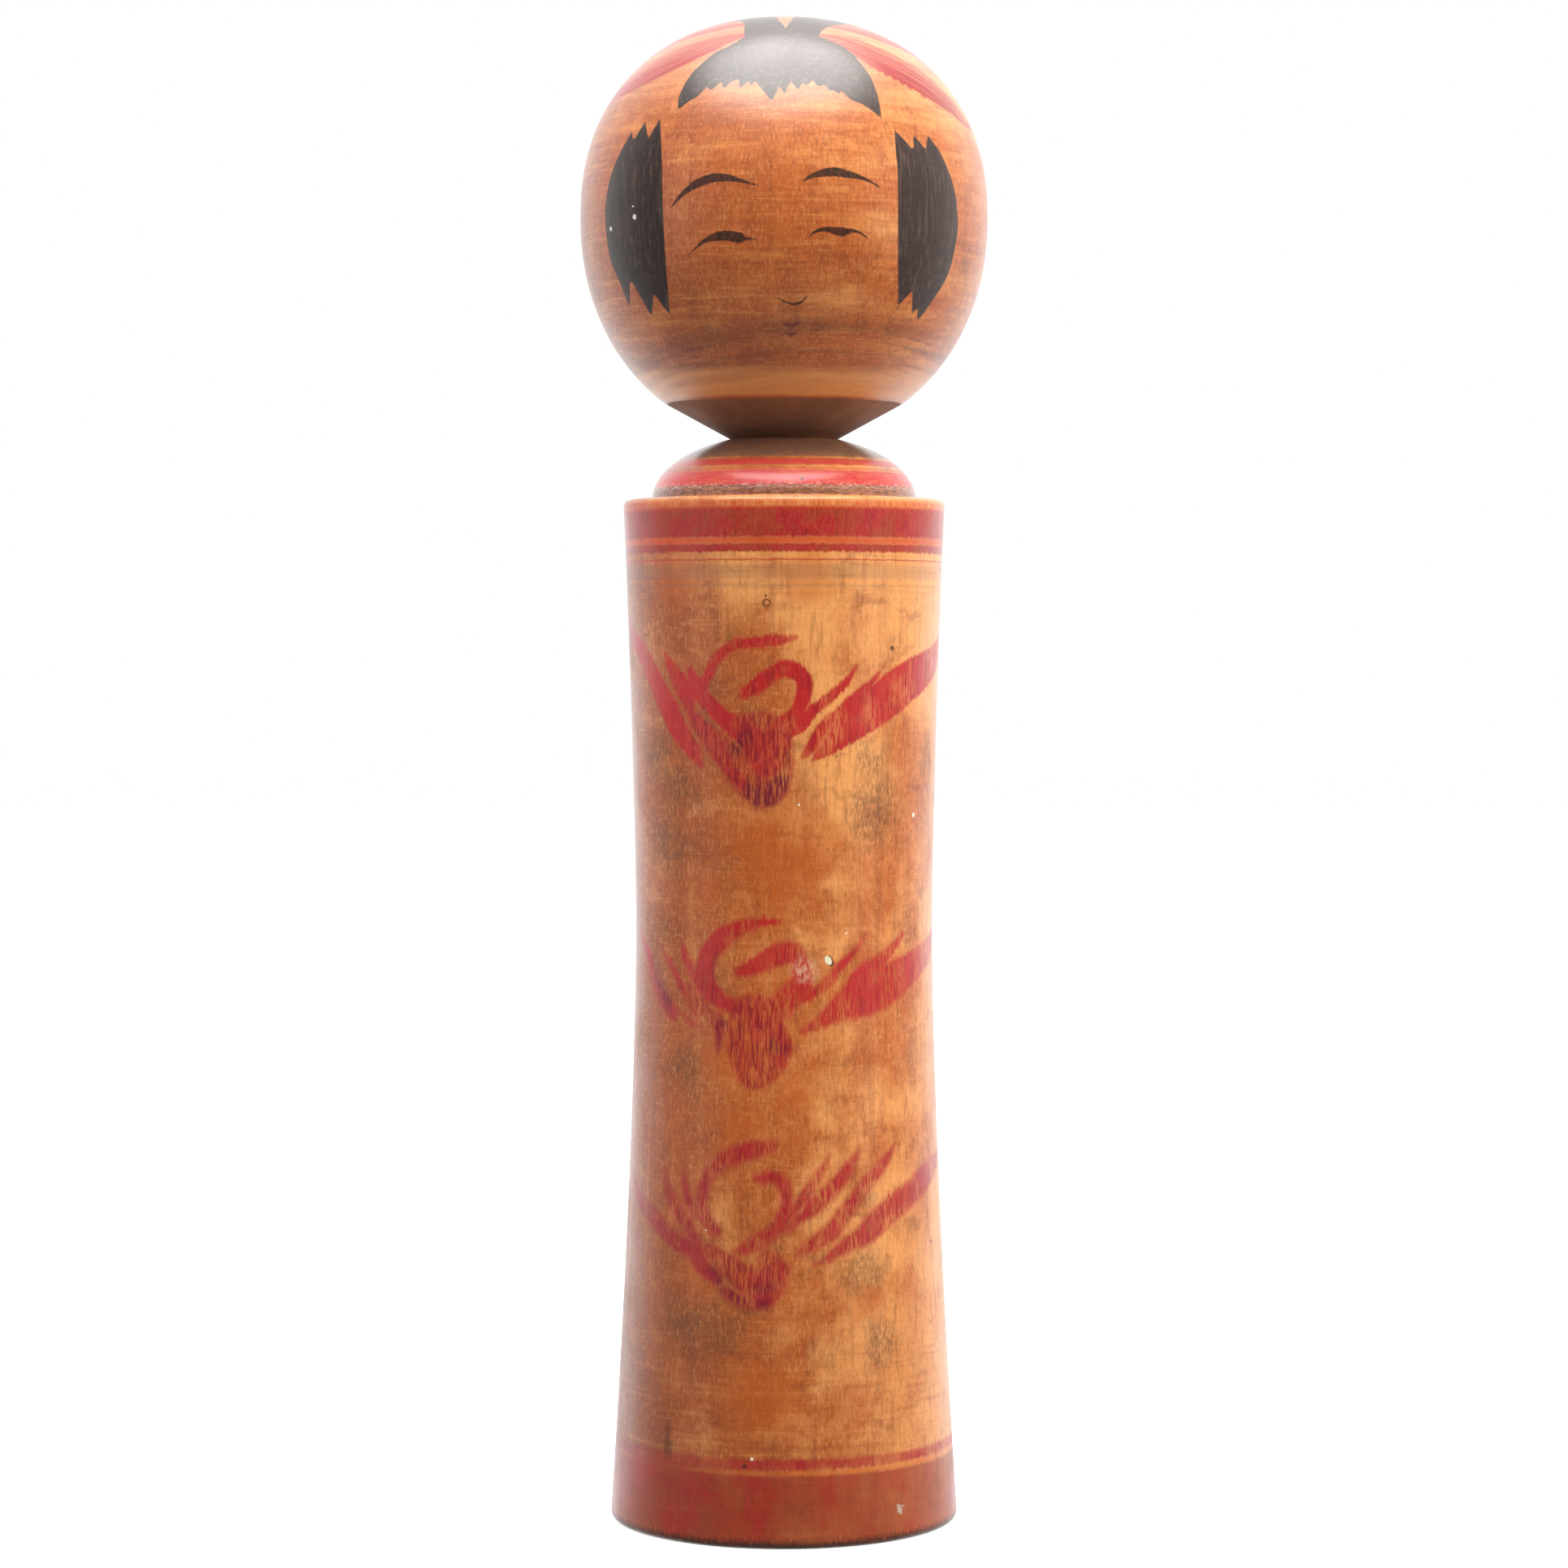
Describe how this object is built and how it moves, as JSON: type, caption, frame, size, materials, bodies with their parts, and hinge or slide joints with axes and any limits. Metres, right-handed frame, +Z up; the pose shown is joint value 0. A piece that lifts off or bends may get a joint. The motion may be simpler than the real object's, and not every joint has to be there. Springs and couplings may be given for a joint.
{
  "type": "kokeshi doll",
  "caption": "Turned wooden doll with a round turning head, a stepped domed shoulder and a waisted body, painted with a face, hair, flowers and lathe bands.",
  "frame": {"origin": "centre of the foot, on the surface that the doll stands on", "axes": "+Z up along the turning axis, face towards -Y, +X to the viewer's right"},
  "size_m": [0.0822, 0.0822, 0.303],
  "materials": {
    "body_wood": "aged waxed hardwood with red and dark dye bands and brushed flowers",
    "head_wood": "aged waxed hardwood with ink hair and face and red ribbons"
  },
  "bodies": {
    "body": {"body": "body_wood"},
    "head": {"head": "head_wood"}
  },
  "joints": [
    {"name": "head_turn", "type": "hinge", "parent": "body", "child": "head", "pos_m": [0, 0, 0.218], "axis": [0, 0, 1], "continuous": true}
  ]
}
